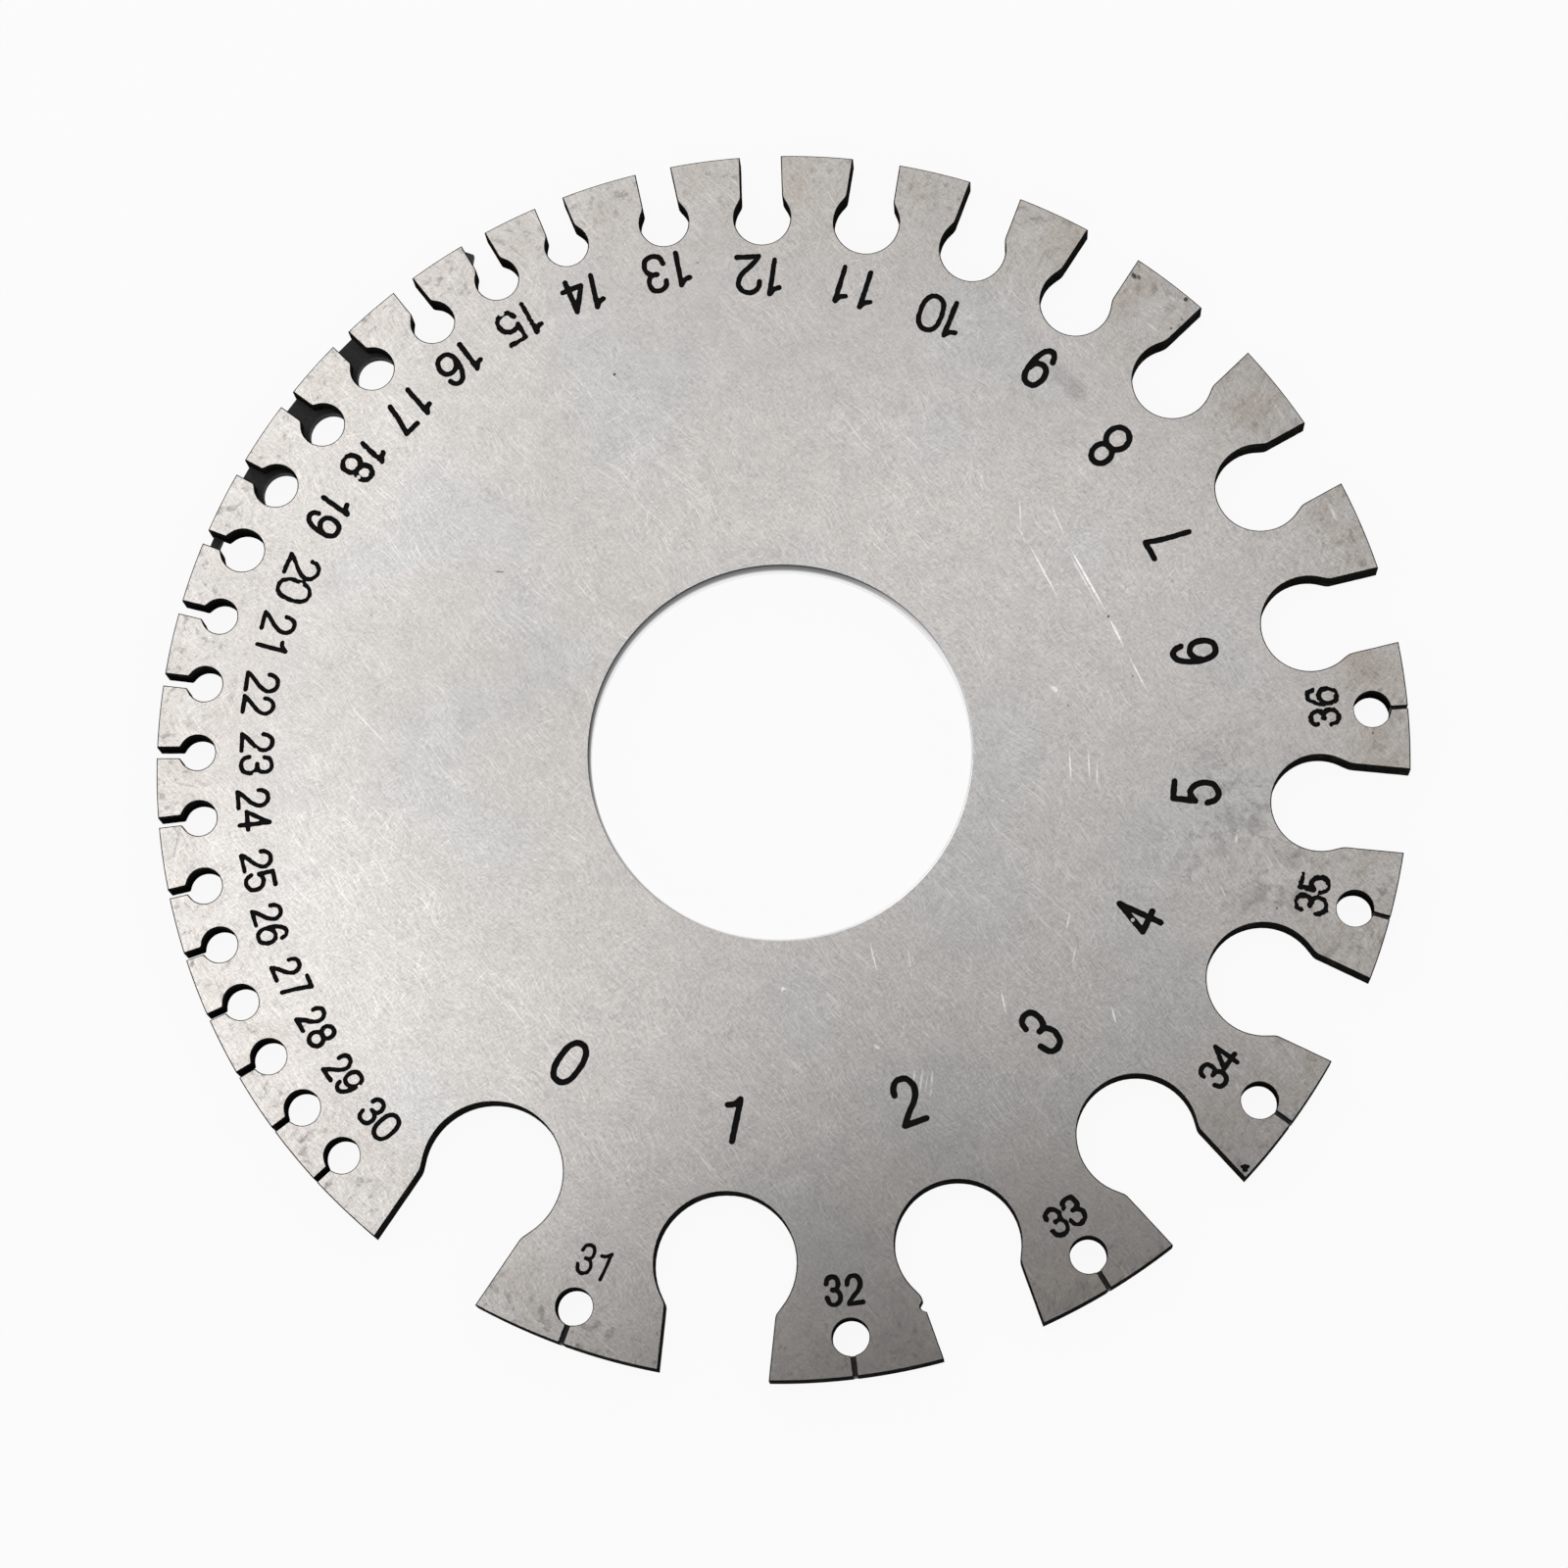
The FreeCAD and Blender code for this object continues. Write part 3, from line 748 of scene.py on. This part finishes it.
def outlines(field, low, cell):
    """The closed outlines where a field over a grid passes zero, with the negative side on their left."""
    inside = field < 0
    code = (inside[:-1, :-1] * 1 + inside[1:, :-1] * 2 + inside[1:, 1:] * 4 + inside[:-1, 1:] * 8)
    follow, spot = {}, {}

    def crossing(i, j, side):
        ends = (((i, j), (i + 1, j)), ((i + 1, j), (i + 1, j + 1)), ((i, j + 1), (i + 1, j + 1)),
                ((i, j), (i, j + 1)))[side]
        if ends not in spot:
            # Kept off the grid's corners, where crossings would meet.
            (a, b), (c, d) = ends
            share = min(max(field[a, b] / (field[a, b] - field[c, d]), 0.02), 0.98)
            spot[ends] = low + cell * (np.array([a, b]) + share * np.array([c - a, d - b]))
        return ends

    for i, j in zip(*np.nonzero((code > 0) & (code < 15))):
        for start, end in CELL_RUNS[int(code[i, j])]:
            follow[crossing(i, j, start)] = crossing(i, j, end)
    loops = []
    while follow:
        first, here = follow.popitem()
        loop = [spot[first]]
        while here != first:
            loop.append(spot[here])
            here = follow.pop(here)
        loops.append(np.array(loop))
    return loops


# In mm: a cell of the grid that a number is outlined on and the space round it, then how far thinning may
# go off and the longest side it may make. It stops at a few points, and outlines of fewer are left out.
OUTLINE_CELL, MARGIN, THINNING, LONGEST_SIDE = 0.07, 0.25, 0.004, 0.5
FEW_POINTS, TOO_FEW_POINTS = 12, 8


def thin_out(loop):
    """Leaves out points of a closed outline that its neighbours already give."""
    kept = list(range(len(loop)))
    changed = True
    while changed and len(kept) > FEW_POINTS:
        changed, passed, skip = False, [], False
        for k, here in enumerate(kept):
            before, after = loop[kept[k - 1]], loop[kept[(k + 1) % len(kept)]]
            along = after - before
            length = np.hypot(*along)
            away = abs(along[0] * (loop[here][1] - before[1]) - along[1] * (loop[here][0] - before[0]))
            if not skip and length < LONGEST_SIDE and away / max(length, 1e-9) < THINNING:
                skip, changed = True, True
            else:
                passed.append(here)
                skip = False
        kept = passed
    return loop[kept]


# Where a number's black is chipped: in mm right and up from its middle, with the chip's radius.
CHIPS = {
    4: ((-0.4, 0.6, 0.13),), 15: ((0.6, -1.43, 0.2), (0.95, 0.55, 0.12)),
    18: ((0.85, 0.2, 0.14), (0.45, -0.75, 0.13), (1.15, 0.95, 0.12)), 20: ((0.35, 0.3, 0.12),),
    23: ((-0.3, 0.05, 0.13), (1.35, 0.05, 0.14)), 29: ((1.2, 0.45, 0.11),),
    33: ((-0.2, 0.3, 0.1),), 36: ((0.9, -0.55, 0.1),),
}
# How much rougher the strokes of some numbers are.
WORN_NUMBERS = {15: 2.2, 18: 2.2, 20: 1.8, 33: 2.5, 35: 3.2, 36: 3.0}


def number_outlines(number, ragged):
    """The outlines of a number's black strokes on the plate, in mm."""
    radius, angle, stroke, *boxes = NUMBERS[number]
    lines = [line for digit, box in zip(str(number), boxes) for line in digit_lines(digit, box, stroke)]
    every = np.concatenate(lines)
    low = every.min(0) - stroke / 2 - MARGIN
    count = np.ceil((every.max(0) + stroke / 2 + MARGIN - low) / OUTLINE_CELL).astype(int) + 1
    grid = np.stack(np.meshgrid(np.arange(count[0]), np.arange(count[1]), indexing="ij"), -1).reshape(-1, 2)
    places = low + grid * OUTLINE_CELL
    field = np.min([line_distance(places, line) for line in lines], axis=0) - stroke / 2

    # Fine and coarse raggedness of the edges, and the chips.
    ragged *= WORN_NUMBERS.get(number, 1.0)
    field += soft_noise(places + 3.1, 0.16, 100 + number) * ragged
    field += soft_noise(places + 1.7, 0.45, 200 + number) * ragged * 0.8
    for chip in CHIPS.get(number, ()):
        field = np.maximum(field, chip[2] - np.hypot(*(places - chip[:2]).T))
    centre = polar(radius, angle)
    up = -centre / np.hypot(*centre)
    right = np.array([up[1], -up[0]])
    loops = outlines(field.reshape(count), low, OUTLINE_CELL)
    loops = [thin_out(loop) for loop in loops if len(loop) > TOO_FEW_POINTS]
    return [centre + loop[:, :1] * right + loop[:, 1:] * up for loop in loops]


# ---- the plate

STEEL, WALL, FILL, BORE = range(4)     # material slots of the plate
SHARP_ANGLE = math.radians(50)
PIT_PLACE, PIT_RADIUS = np.array([30.05, -27.58]), 0.26     # mm; near the corner of the tooth by slot 3
HOLE_STEPS, HOLE_LEVELS = 180, 5       # round the centre hole, and down each of its rounded edges


class Shell:
    """A mesh in the making: points, faces and each face's material slot."""

    def __init__(self):
        self.points, self.faces, self.slots = [], [], []

    def add_points(self, points):
        start = len(self.points)
        self.points.extend([tuple(map(float, p)) for p in points])
        return list(range(start, len(self.points)))

    def ring(self, outline, height):
        """Adds an outline in mm at a height in metres, and gives the numbers of its points."""
        return self.add_points([(x * MM, y * MM, height) for x, y in outline])

    def add_faces(self, faces, slot):
        self.faces.extend(faces)
        self.slots.extend([slot] * len(faces))

    def band(self, upper, lower, slot):
        """Faces between two closed rings of the same length."""
        n = len(upper)
        self.add_faces([(upper[i], upper[(i + 1) % n], lower[(i + 1) % n], lower[i]) for i in range(n)], slot)

    def fill(self, rings, slot):
        """Fills the area that the rings enclose, less the areas of the rings inside it."""
        ids = [i for ring in rings for i in ring]
        flat = [Vector(self.points[i][:2]) * 1000 for i in ids]
        edges, start = [], 0
        for ring in rings:
            edges += [(start + k, start + (k + 1) % len(ring)) for k in range(len(ring))]
            start += len(ring)
        _, _, faces, origins, _, _ = delaunay_2d_cdt(flat, edges, [], 0, 1e-7)
        if any(not origin for origin in origins):
            raise RuntimeError("two outlines on a face of the plate cross")
        back = [origin[0] for origin in origins]
        faces = enclosed([tuple(back[v] for v in face) for face in faces], edges)
        self.add_faces([tuple(ids[v] for v in face) for face in faces], slot)


def sides(face):
    """A face's sides, each as two vertex numbers in no order."""
    return [frozenset(side) for side in zip(face, face[1:] + face[:1])]


def enclosed(triangles, edges):
    """The triangles with an odd number of outlines round them."""
    outline = {frozenset(edge) for edge in edges}
    users = {}
    for k, face in enumerate(triangles):
        for side in sides(face):
            users.setdefault(side, []).append(k)
    inside = {faces[0]: side in outline for side, faces in users.items() if len(faces) == 1}
    ahead = list(inside)
    while ahead:
        k = ahead.pop()
        for side in sides(triangles[k]):
            for other in users[side]:
                if other not in inside:
                    inside[other] = inside[k] != (side in outline)
                    ahead.append(other)
    return [face for k, face in enumerate(triangles) if inside[k]]


def build_plate(sizes, materials):
    """The whole plate as one closed mesh."""
    shell = Shell()
    walls = notch_walls(sizes, materials[WALL])
    shell.add_points([v.co for v in walls.vertices])
    shell.add_faces([tuple(p.vertices) for p in walls.polygons], WALL)
    loops = boundary_loops(walls)
    if len(loops) != 2:
        raise RuntimeError(f"the notch walls should leave a top and a bottom loop, not {len(loops)}")
    loops.sort(key=lambda loop: shell.points[loop[0]][2])
    lower_rim, upper_rim = loops

    # The centre hole, with its edges rounded.
    turns = np.linspace(0, 2 * math.pi, HOLE_STEPS + 1)[:-1]
    rings = []
    for j in range(2 * HOLE_LEVELS):
        swing = math.pi / 2 * min(j, 2 * HOLE_LEVELS - 1 - j) / (HOLE_LEVELS - 1)
        radius = sizes.centre_hole / 2 + sizes.hole_edge * (1 - math.sin(swing))
        down = sizes.hole_edge * (1 - math.cos(swing))
        z = sizes.thickness - down if j < HOLE_LEVELS else down
        rings.append(shell.add_points([(radius * math.cos(t), radius * math.sin(t), z) for t in turns]))
    for upper, lower in zip(rings, rings[1:]):
        shell.band(upper, lower, BORE)

    # Stamped numbers, each a shallow recess filled with black, and the pit.
    top_rings, floor_rings = [upper_rim, rings[0]], []
    recesses = [loop for number in NUMBERS for loop in number_outlines(number, sizes.number_ragged / MM)]
    recesses.append([PIT_PLACE + (PIT_RADIUS + 0.04 * math.sin(3 * t) + 0.03 * math.sin(5 * t))
                     * np.array([math.cos(t), math.sin(t)]) for t in turns[::6]])
    for loop in recesses:
        top_rings.append(shell.ring(loop, sizes.thickness))
        floor_rings.append(shell.ring(loop, sizes.thickness - sizes.number_depth))
        shell.band(top_rings[-1], floor_rings[-1], FILL)
    shell.fill(floor_rings, FILL)
    shell.fill(top_rings, STEEL)
    shell.fill([lower_rim, rings[-1]], STEEL)
    return shell


def shell_object(name, shell, materials):
    """An object at the origin from a shell, faces outwards, flat where level and smooth elsewhere."""
    mesh = bpy.data.meshes.new(name)
    mesh.from_pydata(shell.points, [], shell.faces)
    for material in materials:
        mesh.materials.append(material)
    mesh.polygons.foreach_set("material_index", shell.slots)
    work = bmesh.new()
    work.from_mesh(mesh)
    bmesh.ops.recalc_face_normals(work, faces=work.faces)
    open_edges = sum(1 for edge in work.edges if len(edge.link_faces) != 2)
    if open_edges:
        raise RuntimeError(f"{name} has {open_edges} edges that don't join two faces")
    work.to_mesh(mesh)
    work.free()
    mesh.set_sharp_from_angle(angle=SHARP_ANGLE)
    mesh.polygons.foreach_set("use_smooth", [abs(face.normal.z) < 0.999 for face in mesh.polygons])
    mesh.update()
    return put(name, mesh)


class GAUGE_OT_plate(bpy.types.Operator):
    """Makes the plate with its notches, centre hole and stamped numbers"""

    bl_idname = "gauge.plate"
    bl_label = "Plate"

    def execute(self, context):
        sizes, colours = context.scene.gauge_sizes, context.scene.gauge_colours
        materials = [ground_steel(colours), cut_wall(colours), dull_black("number_fill", colours.number_fill),
                     bore_steel(colours)]
        plate = shell_object("plate", build_plate(sizes, materials), materials)
        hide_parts("gauge_plate")
        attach(plate, "root")
        return {"FINISHED"}


# Painted shade in the narrow slots, as thin dark sheets: how far each reaches into the relief hole, as a
# share of its radius from the middle outwards (1 is not at all, 1.5 leaves half the slot clear), and its
# heights in mm.
SHADED_SLOTS = {
    17: (0.72, 0.05, 0.9), 18: (0.6, 0.05, 0.9), 19: (0.66, 0.05, 0.8), 20: (1.45, 0.05, 0.6),
    **{slot: (1.0, 0.1, 1.7) for slot in range(31, 37)},
}
# Painted shadow by slot 15's mouth, a small dark wedge: its corners and its heights, in mm.
SHADOW_WEDGE = ((-21.82, 34.81), (-20.87, 34.47), (-20.98, 33.71), (-21.52, 34.56))
SHADOW_WEDGE_HEIGHTS = (1.35, 1.95)


SLOT_SHADE_OVERLAP = 0.02                    # mm that it reaches into the walls
SLOT_SHADE_SHORT, SLOT_SHADE_FLUSH = 0.2, 0.03     # mm in from the rim, in slots 17 to 20 and in slots 31 to 36
SLOT_SHADE_SPREAD = math.radians(105)        # how far round the relief hole it touches the wall


def packed_outline(slot, reach, rim_radius):
    """The outline in mm of the painted-shade sheet in one slot, along and across the slot's own line."""
    drill, inset = (size / MM for size in RELIEF[slot])
    middle, half = rim_radius / MM - inset, SHEET_OUNCES[slot] * SLOT_FOR_AN_OUNCE / MM / 2 + SLOT_SHADE_OVERLAP
    drill += SLOT_SHADE_OVERLAP
    top = math.asin(half / drill)
    end = rim_radius / MM - (SLOT_SHADE_SHORT if slot < FIRST_BETWEEN else SLOT_SHADE_FLUSH)
    if reach < 1:
        arc = np.linspace(top, SLOT_SHADE_SPREAD, 12)
        side = np.stack([middle + drill * np.cos(arc), drill * np.sin(arc)], -1)
        turn = np.linspace(math.pi / 2, -math.pi / 2, 22)[1:-1]
        bulge = reach * drill - drill * math.cos(arc[-1])
        lens = np.stack([side[-1, 0] + bulge * np.cos(turn), side[-1, 1] * np.sin(turn)], -1)
        inner = np.concatenate([side, lens, side[::-1] * (1, -1)])
    else:
        start = middle + drill * math.cos(top)
        start += (end - start) * (reach - 1)
        inner = np.array([(start, half), (start, -half)])
    return np.concatenate([[(end, half)], inner, [(end, -half)]])


def build_dirt(sizes):
    """Thin dark slabs of painted shade across the narrow slots, and the wedge of painted shadow by slot 15.
    """
    shell = Shell()
    # The wedge of painted shadow by slot 15 first, then a sheet of painted shade in each narrow slot.
    slabs = [(SHADOW_WEDGE, *SHADOW_WEDGE_HEIGHTS)]
    for slot, (reach, low, high) in SHADED_SLOTS.items():
        outline = packed_outline(slot, reach, sizes.plate_diameter / 2)
        along = polar(1.0, slot_bearing(slot))
        across = np.array([-along[1], along[0]])
        slabs.append((outline[:, :1] * along + outline[:, 1:] * across, low, high))
    for outline, low, high in slabs:
        upper, lower = shell.ring(outline, high * MM), shell.ring(outline, low * MM)
        shell.band(upper, lower, 0)
        shell.fill([upper], 0)
        shell.fill([lower], 0)
    return shell


class GAUGE_OT_dirt(bpy.types.Operator):
    """Makes the dark sheets of painted shade in the narrow slots and the wedge of painted shadow at the mouth
    of slot 15
    """

    bl_idname = "gauge.dirt"
    bl_label = "Dirt in the slots"

    def execute(self, context):
        # Painted shade: a dull black for the sheets in the narrow slots and the wedge by slot 15.
        black = dull_black("painted_slot_shade", context.scene.gauge_colours.dirt)
        dirt = shell_object("painted_slot_shade", build_dirt(context.scene.gauge_sizes), [black])
        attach(dirt, "root")
        return {"FINISHED"}


# ---- the studio

CAMERA_TILT = (-0.213411, 0.044267)            # turns about the picture's right and down, in radians
CAMERA_OFFSET = (-0.006383, -0.052199, 7.5)    # the plate's centre as the camera sees it, in rim radii
CAMERA_LENS = 108.06                           # mm on a sensor 36 mm wide
FLOOR_REACH, FLOOR_HEIGHT = 1.5, -0.00002      # metres from the middle to a side, and just under the plate


def camera_matrix(rim_radius, thickness):
    """The camera's place: looking down on the plate, tilted a little towards its lower edge."""
    axis = Vector((*CAMERA_TILT, 0.0))
    turn = Matrix.Rotation(axis.length, 3, axis.normalized())
    flip = Vector((1, -1, -1))
    right, down, ahead = (Vector(row) * flip for row in turn)
    spot = -(turn.transposed() @ Vector(CAMERA_OFFSET)) * rim_radius * flip + Vector((0, 0, thickness))
    matrix = Matrix((right, -down, -ahead)).transposed().to_4x4()
    matrix.translation = spot
    return matrix


class GAUGE_OT_stage(bpy.types.Operator):
    """Makes the pale floor, the soft lights and the camera"""

    bl_idname = "gauge.stage"
    bl_label = "Studio"

    def execute(self, context):
        scene = context.scene
        scene.view_settings.view_transform = "Standard"

        lens = bpy.data.cameras.new("camera")
        lens.lens, lens.sensor_width, lens.sensor_fit = CAMERA_LENS, 36.0, "HORIZONTAL"
        lens.clip_start, lens.clip_end = 0.01, 20.0
        camera = put("camera", lens)
        camera.matrix_world = camera_matrix(scene.gauge_sizes.plate_diameter / 2, scene.gauge_sizes.thickness)
        scene.camera = camera

        floor_mesh = bpy.data.meshes.new("floor")
        corners = ((-1, -1), (1, -1), (1, 1), (-1, 1))
        floor_mesh.from_pydata([(x * FLOOR_REACH, y * FLOOR_REACH, FLOOR_HEIGHT) for x, y in corners], [],
                               [(0, 1, 2, 3)])
        floor_mesh.materials.append(pale_floor(scene.gauge_colours))
        floor = put("floor", floor_mesh)

        scene.world = bpy.data.worlds.new("studio")
        studio_sky(scene.world)
        for box in SOFT_BOXES:
            soft_box(*box)
        return {"FINISHED"}


def pale_floor(colours):
    """A pale floor that the camera sees as white, with the plate's shadow left faintly on it."""
    material, node = new_material("pale_floor")
    seen = (node("ShaderNodeLightPath", {}, {}, "Is Camera Ray")
            + node("ShaderNodeLightPath", {}, {}, "Is Glossy Ray")).at_most(1.0)
    lit = node("ShaderNodeBsdfDiffuse", {}, {"Color": (*colours.floor, 1)})
    white = node("ShaderNodeEmission", {}, {"Color": (1, 1, 1, 1), "Strength": 1.0})
    both = node("ShaderNodeMixShader", {}, {0: seen * 0.93, 1: lit, 2: white})
    node("ShaderNodeOutputMaterial", {}, {"Surface": both})
    return material


def studio_sky(world):
    """Soft even light from the sides under a darker ceiling, and plain white to the camera."""
    node = start_nodes(world)
    height, = axes(node, node("ShaderNodeTexCoord", {}, {}, "Generated"), "Z")
    strength = mix(height.rise(0.5, 0.85), SKY_SIDES, SKY_CEILING)
    camera = node("ShaderNodeLightPath", {}, {}, "Is Camera Ray")
    sky = node("ShaderNodeBackground", {}, {
        "Color": (1, 1, 1, 1), "Strength": mix(camera, strength, 1.0)})
    node("ShaderNodeOutputWorld", {}, {"Surface": sky})


# Soft boxes over the plate: place, width and depth in metres, and radiance.
SOFT_BOXES = (
    ("near_left_box", (-0.183, 0.087, 0.7), 0.25, 0.118, 1.0),
    ("right_box", (0.139, 0.145, 0.705), 0.435, 0.154, 0.74),
    ("upper_box", (-0.206, 0.382, 0.71), 0.597, 0.392, 0.74),
    ("far_left_box", (-0.267, 0.284, 0.715), 0.311, 0.617, 0.9),
)
SKY_SIDES, SKY_CEILING = 0.95, 0.06


def soft_box(name, spot, width, depth, radiance):
    """An area light that faces straight down."""
    light = bpy.data.lights.new(name, "AREA")
    light.shape, light.size, light.size_y = "RECTANGLE", width, depth
    light.energy = radiance * math.pi * width * depth
    put(name, light).location = spot


# ---- panel and main


class GAUGE_PT_panel(bpy.types.Panel):
    """The plate's sizes and colours, and the steps that make it"""

    bl_idname = "GAUGE_PT_panel"
    bl_label = "Gauge Plate"
    bl_space_type = "VIEW_3D"
    bl_region_type = "UI"
    bl_category = "Gauge Plate"

    def draw(self, context):
        for settings in (context.scene.gauge_sizes, context.scene.gauge_colours):
            column = self.layout.column(align=True)
            for name in settings.__annotations__:
                column.prop(settings, name)
        column = self.layout.column(align=True)
        for operator in OPERATORS:
            column.operator(operator.bl_idname)


OPERATORS = (GAUGE_OT_plate, GAUGE_OT_dirt, GAUGE_OT_stage)
CLASSES = (GaugeSizes, GaugeColours, *OPERATORS, GAUGE_PT_panel)


def register():
    for cls in CLASSES:
        bpy.utils.register_class(cls)
    bpy.types.Scene.gauge_sizes = bpy.props.PointerProperty(type=GaugeSizes)
    bpy.types.Scene.gauge_colours = bpy.props.PointerProperty(type=GaugeColours)


def unregister():
    del bpy.types.Scene.gauge_colours
    del bpy.types.Scene.gauge_sizes
    for cls in reversed(CLASSES):
        bpy.utils.unregister_class(cls)


def main():
    register()
    bpy.ops.gauge.plate()
    bpy.ops.gauge.dirt()
    bpy.ops.gauge.stage()


if __name__ == "__main__":
    main()
